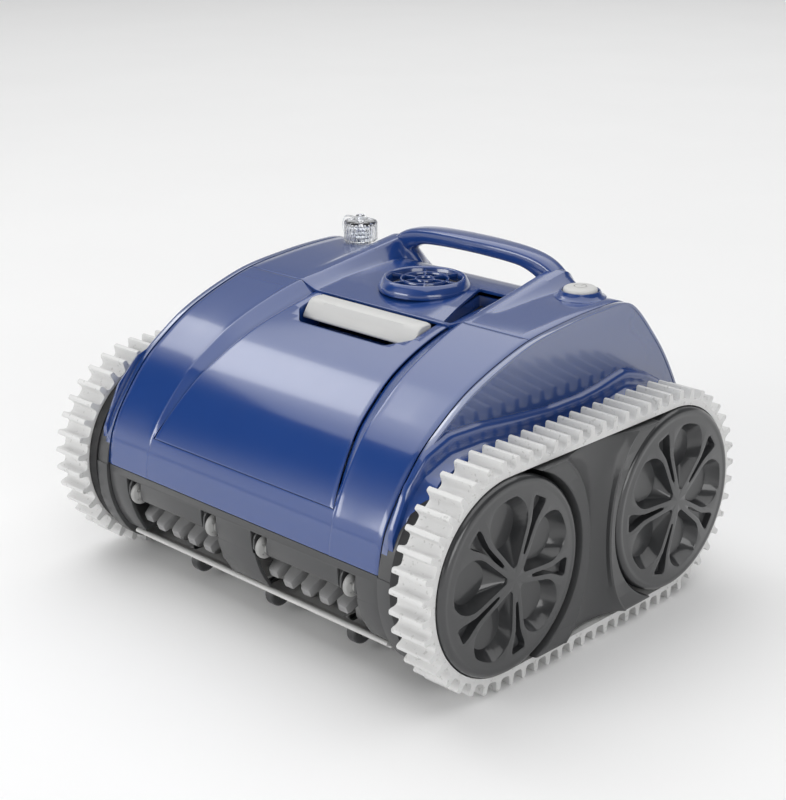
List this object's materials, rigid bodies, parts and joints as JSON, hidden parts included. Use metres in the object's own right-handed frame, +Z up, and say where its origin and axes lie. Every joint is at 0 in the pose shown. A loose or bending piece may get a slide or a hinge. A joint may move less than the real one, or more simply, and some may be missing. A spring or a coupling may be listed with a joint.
{
  "type": "pool cleaner",
  "caption": "Track-driven cordless pool cleaning robot with domed cover, front-hinged filter lid, brush roller, outlet grille and carry handle.",
  "frame": {"origin": "on the ground under the middle of the machine, halfway between the wheel axles", "axes": "+X across the machine towards the side with the power button, +Y from the brush end to the handle end, +Z up"},
  "size_m": [0.45, 0.3888, 0.2765],
  "materials": {
    "shell_blue": "glossy deep blue moulded plastic",
    "charcoal": "fine satin charcoal moulded plastic",
    "black_plastic": "semi-gloss black moulded plastic",
    "tread_grey": "light grey moulded track rubber",
    "light_grey": "satin light grey plastic",
    "brush_rubber": "mid grey rubber paddles",
    "stainless": "turned stainless steel",
    "clear_plastic": "clear moulded plastic",
    "circuit_board": "green circuit board",
    "filter_fabric": "fine woven filter mesh"
  },
  "bodies": {
    "chassis": {"battery_pack": "black_plastic", "button_bezel": "shell_blue", "button_seat": "charcoal", "button_spring": "stainless", "cap_strap": "clear_plastic", "charge_port": "black_plastic", "control_board": "circuit_board", "drive_bearing_left": "stainless", "drive_bearing_right": "stainless", "drive_motor_left": "black_plastic", "drive_motor_right": "black_plastic", "filter_basket": "black_plastic", "filter_screen": "filter_fabric", "front_bumper": "charcoal", "front_cover": "shell_blue", "intake_duct": "charcoal", "lid_hinge_pin_left": "stainless", "lid_hinge_pin_right": "stainless", "lower_hull": "charcoal", "motor_pod": "charcoal", "outlet_duct": "charcoal", "outlet_grille": "shell_blue", "pump_motor": "stainless", "rear_bumper": "charcoal", "rear_cover": "shell_blue", "side_panel_left": "shell_blue", "side_panel_right": "shell_blue", "squeegee": "brush_rubber", "suction_lip": "light_grey", "track_belt_left": "tread_grey", "track_belt_right": "tread_grey", "track_frame_left": "charcoal", "track_frame_right": "charcoal"},
    "lid": {"filter_lid": "shell_blue", "latch_pin": "stainless"},
    "latch": {"latch_bar": "light_grey"},
    "button": {"power_button": "light_grey"},
    "cap_ring": {"strap_ring": "clear_plastic"},
    "cap": {"charge_cap": "clear_plastic"},
    "impeller": {"impeller": "black_plastic"},
    "intake_flap": {"intake_flap": "light_grey"},
    "left_front_wheel": {"front_wheel_left": "black_plastic", "front_shaft_left": "stainless", "brush_drive_gear": "light_grey"},
    "right_front_wheel": {"front_wheel_right": "black_plastic", "front_shaft_right": "stainless"},
    "left_rear_wheel": {"rear_wheel_left": "black_plastic", "rear_shaft_left": "stainless"},
    "right_rear_wheel": {"rear_wheel_right": "black_plastic", "rear_shaft_right": "stainless"},
    "brush": {"brush_roller": "brush_rubber", "brush_gear": "light_grey"},
    "guide_roller_1": {"guide_roller_1": "light_grey"},
    "guide_roller_2": {"guide_roller_2": "light_grey"},
    "guide_roller_3": {"guide_roller_3": "light_grey"},
    "guide_roller_4": {"guide_roller_4": "light_grey"},
    "support_wheel_1": {"support_wheel_1": "black_plastic"},
    "support_wheel_2": {"support_wheel_2": "black_plastic"},
    "support_wheel_3": {"support_wheel_3": "black_plastic"}
  },
  "joints": [
    {"name": "lid_open", "type": "hinge", "parent": "chassis", "child": "lid", "pos_m": [0, -0.1677, 0.1362], "axis": [1, 0, 0], "range_deg": [0, 75]},
    {"name": "latch_lift", "type": "hinge", "parent": "lid", "child": "latch", "pos_m": [0, -0.0235, 0.231], "axis": [-1, 0, 0], "range_deg": [0, 30], "stiffness_Nm_per_rad": 0.08, "springref_deg": -20.05},
    {"name": "button_press", "type": "slide", "parent": "chassis", "child": "button", "axis": [0, 0, -1], "range_m": [0, 0.0022], "stiffness_N_per_m": 500, "springref_m": -0.003, "deforming": ["button_spring"]},
    {"name": "cap_lift", "type": "slide", "parent": "chassis", "child": "cap_ring", "axis": [0, 0, 1], "range_m": [0, 0.0046], "deforming": ["cap_strap"]},
    {"name": "cap_twist", "type": "hinge", "parent": "cap_ring", "child": "cap", "pos_m": [-0.131, 0.094, 0.26], "axis": [0, 0, 1], "range_deg": [0, 540]},
    {"name": "impeller_spin", "type": "hinge", "parent": "chassis", "child": "impeller", "pos_m": [0, 0.04, 0.206], "axis": [0, 0, 1], "continuous": true},
    {"name": "flap_open", "type": "hinge", "parent": "chassis", "child": "intake_flap", "pos_m": [0, -0.044, 0.0462], "axis": [-1, 0, 0], "range_deg": [0, 60]},
    {"name": "left_drive", "type": "hinge", "parent": "chassis", "child": "left_rear_wheel", "pos_m": [0, 0.1025, 0.0921], "axis": [1, 0, 0], "continuous": true},
    {"name": "left_front_roll", "type": "hinge", "parent": "chassis", "child": "left_front_wheel", "pos_m": [0, -0.1025, 0.0921], "axis": [1, 0, 0], "continuous": true},
    {"name": "right_drive", "type": "hinge", "parent": "chassis", "child": "right_rear_wheel", "pos_m": [0, 0.1025, 0.0921], "axis": [1, 0, 0], "continuous": true},
    {"name": "right_front_roll", "type": "hinge", "parent": "chassis", "child": "right_front_wheel", "pos_m": [0, -0.1025, 0.0921], "axis": [1, 0, 0], "continuous": true},
    {"name": "brush_spin", "type": "hinge", "parent": "chassis", "child": "brush", "pos_m": [0, -0.141, 0.06343], "axis": [1, 0, 0], "continuous": true},
    {"name": "guide_spin_1", "type": "hinge", "parent": "chassis", "child": "guide_roller_1", "pos_m": [-0.1275, -0.173, 0.08], "axis": [1, 0, 0], "continuous": true},
    {"name": "guide_spin_2", "type": "hinge", "parent": "chassis", "child": "guide_roller_2", "pos_m": [-0.0303, -0.173, 0.08], "axis": [1, 0, 0], "continuous": true},
    {"name": "guide_spin_3", "type": "hinge", "parent": "chassis", "child": "guide_roller_3", "pos_m": [0.0303, -0.173, 0.08], "axis": [1, 0, 0], "continuous": true},
    {"name": "guide_spin_4", "type": "hinge", "parent": "chassis", "child": "guide_roller_4", "pos_m": [0.1275, -0.173, 0.08], "axis": [1, 0, 0], "continuous": true},
    {"name": "support_spin_1", "type": "hinge", "parent": "chassis", "child": "support_wheel_1", "pos_m": [-0.095, -0.134, 0.017], "axis": [1, 0, 0], "continuous": true},
    {"name": "support_spin_2", "type": "hinge", "parent": "chassis", "child": "support_wheel_2", "pos_m": [0, -0.134, 0.017], "axis": [1, 0, 0], "continuous": true},
    {"name": "support_spin_3", "type": "hinge", "parent": "chassis", "child": "support_wheel_3", "pos_m": [0.095, -0.134, 0.017], "axis": [1, 0, 0], "continuous": true}
  ],
  "couplings": [
    {"joint": "left_front_roll", "follows": "left_drive", "ratio": 1},
    {"joint": "right_front_roll", "follows": "right_drive", "ratio": 1},
    {"joint": "brush_spin", "follows": "left_drive", "ratio": -3},
    {"joint": "cap_lift", "follows": "cap_twist", "m_per_rad": 0.00047746}
  ]
}
